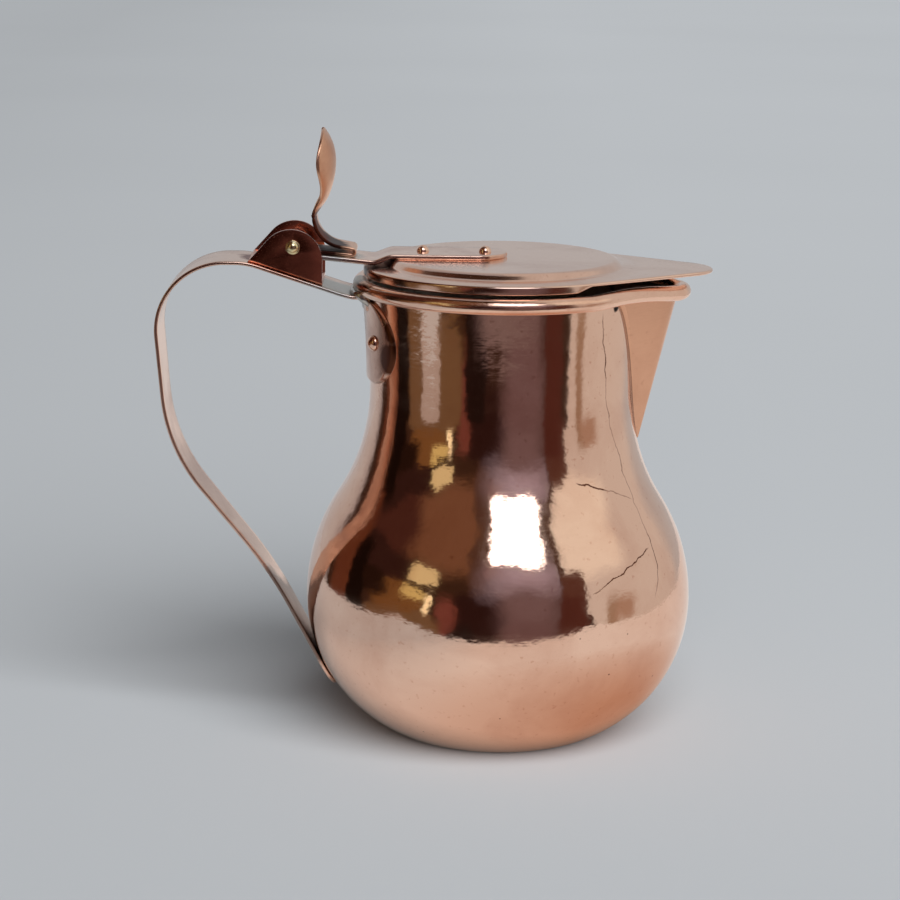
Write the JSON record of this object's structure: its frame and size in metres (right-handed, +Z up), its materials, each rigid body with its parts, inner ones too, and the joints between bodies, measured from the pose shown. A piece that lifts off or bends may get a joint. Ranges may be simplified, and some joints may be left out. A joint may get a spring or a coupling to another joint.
{
  "type": "lidded jug",
  "caption": "Round-bellied copper jug with a V-shaped pouring lip, a strap handle riveted at neck and belly, and a hinged flat lid with a beak and a thumbpiece.",
  "frame": {"origin": "on the jug's axis, in the plane of the flat base it stands on", "axes": "+Z up along the jug's axis, +X towards the pouring lip, handle and hinge on -X"},
  "size_m": [0.1916, 0.1346, 0.2109],
  "materials": {
    "copper": "polished, slightly worn",
    "copper_rivets": "hammered",
    "brass_pin": "worn",
    "iron_wire": "dull"
  },
  "bodies": {
    "jug": {"jug_body": "copper", "spout": "copper", "rim_bead": "copper", "rim_wire": "iron_wire", "handle": "copper", "hinge_bracket": "copper", "hinge_pin": "brass_pin", "tongue_rivets": "copper_rivets", "foot_rivet": "copper_rivets"},
    "cover": {"lid": "copper", "lid_strap": "copper", "thumbpiece": "copper", "lid_rivets": "copper_rivets"}
  },
  "joints": [
    {"name": "lid_hinge", "type": "hinge", "parent": "jug", "child": "cover", "pos_m": [-0.0718, 0, 0.1712], "axis": [0, -1, 0], "range_deg": [0, 113]}
  ]
}
